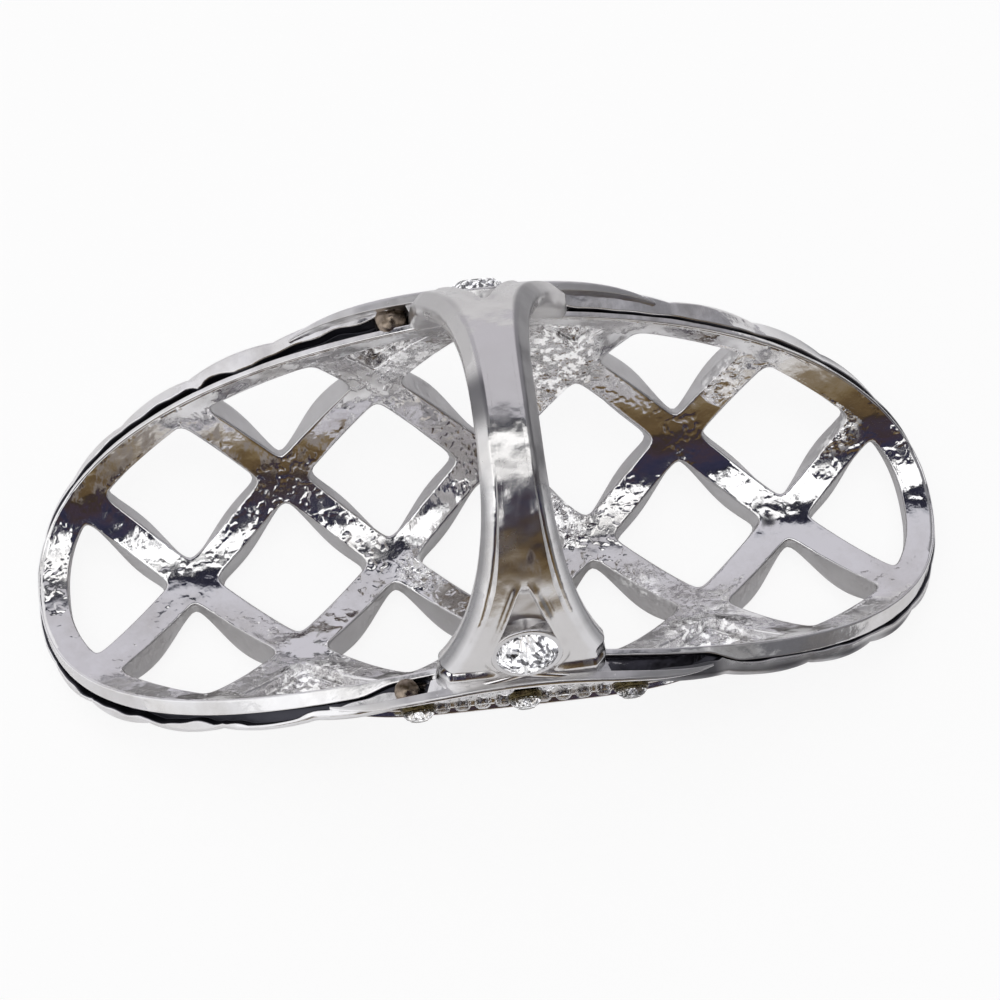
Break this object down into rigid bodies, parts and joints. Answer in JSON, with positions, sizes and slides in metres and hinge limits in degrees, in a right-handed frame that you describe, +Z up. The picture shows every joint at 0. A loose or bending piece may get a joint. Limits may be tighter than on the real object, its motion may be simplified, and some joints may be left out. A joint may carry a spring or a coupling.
{
  "type": "long openwork finger ring",
  "caption": "Long openwork saddle ring of polished silver-look metal, with a lattice face, a forked shank and stone-set shoulders.",
  "frame": {"origin": "middle of what the ring rests on, straight below the middle of the shank", "axes": "+X along the finger, +Y across it from the near shoulder to the far one, +Z up from the ring's face to its shank"},
  "size_m": [0.0468, 0.0216, 0.0201],
  "materials": {
    "silver_plate": "polished plate on a slightly rough casting",
    "clear_stone": "faceted, foil-backed",
    "brown_foil_stone": "faceted, with a brown foil back",
    "pave_stone": "faceted, foil-backed"
  },
  "bodies": {
    "root": {"casting": "silver_plate", "fork_stone_near": "clear_stone", "fork_stone_far": "clear_stone", "leaf_stone_near_left": "brown_foil_stone", "leaf_stone_near_middle": "brown_foil_stone", "leaf_stone_near_right": "brown_foil_stone", "leaf_stone_far_left": "brown_foil_stone", "leaf_stone_far_middle": "brown_foil_stone", "leaf_stone_far_right": "brown_foil_stone", "pave_near": "pave_stone", "pave_far": "pave_stone"}
  },
  "joints": []
}
